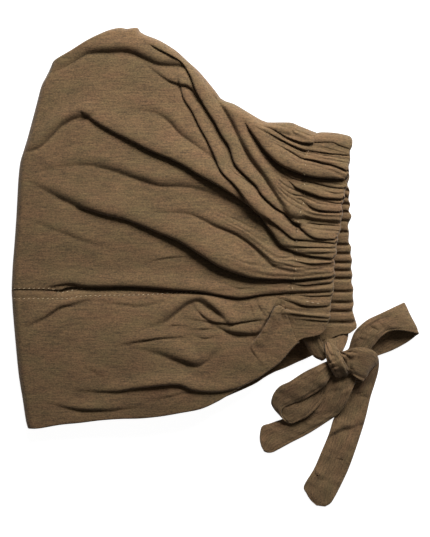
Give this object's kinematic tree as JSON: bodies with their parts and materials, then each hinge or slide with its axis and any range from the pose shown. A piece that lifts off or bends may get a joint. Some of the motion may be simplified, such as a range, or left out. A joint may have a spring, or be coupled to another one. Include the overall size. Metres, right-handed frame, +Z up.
{
  "type": "hijab underscarf cap",
  "caption": "Full jersey underscarf cap lying on its side, with a doubled face band, a gathered nape casing and a tie knotted in a bow.",
  "frame": {"origin": "on the surface the cap lies on, under the middle of its overall box", "axes": "+X from the fold over the top of the head to the nape, +Y from the face opening to the back of the crown, +Z up from the surface"},
  "size_m": [0.3214, 0.3728, 0.0271],
  "materials": {
    "cap_jersey": "matt olive-brown single jersey with fine slubs",
    "band_jersey": "matt olive-brown jersey, doubled",
    "casing_jersey": "matt olive-brown jersey, gathered over elastic",
    "tie_jersey": "matt olive-brown jersey, folded flat tie"
  },
  "bodies": {
    "root": {"crown": "cap_jersey", "front_band": "band_jersey", "nape_casing": "casing_jersey", "tie_strap": "tie_jersey", "bow_knot": "tie_jersey", "bow_loop_right": "tie_jersey", "bow_loop_left": "tie_jersey", "tie_tail_right": "tie_jersey", "tie_tail_left": "tie_jersey"}
  },
  "joints": []
}
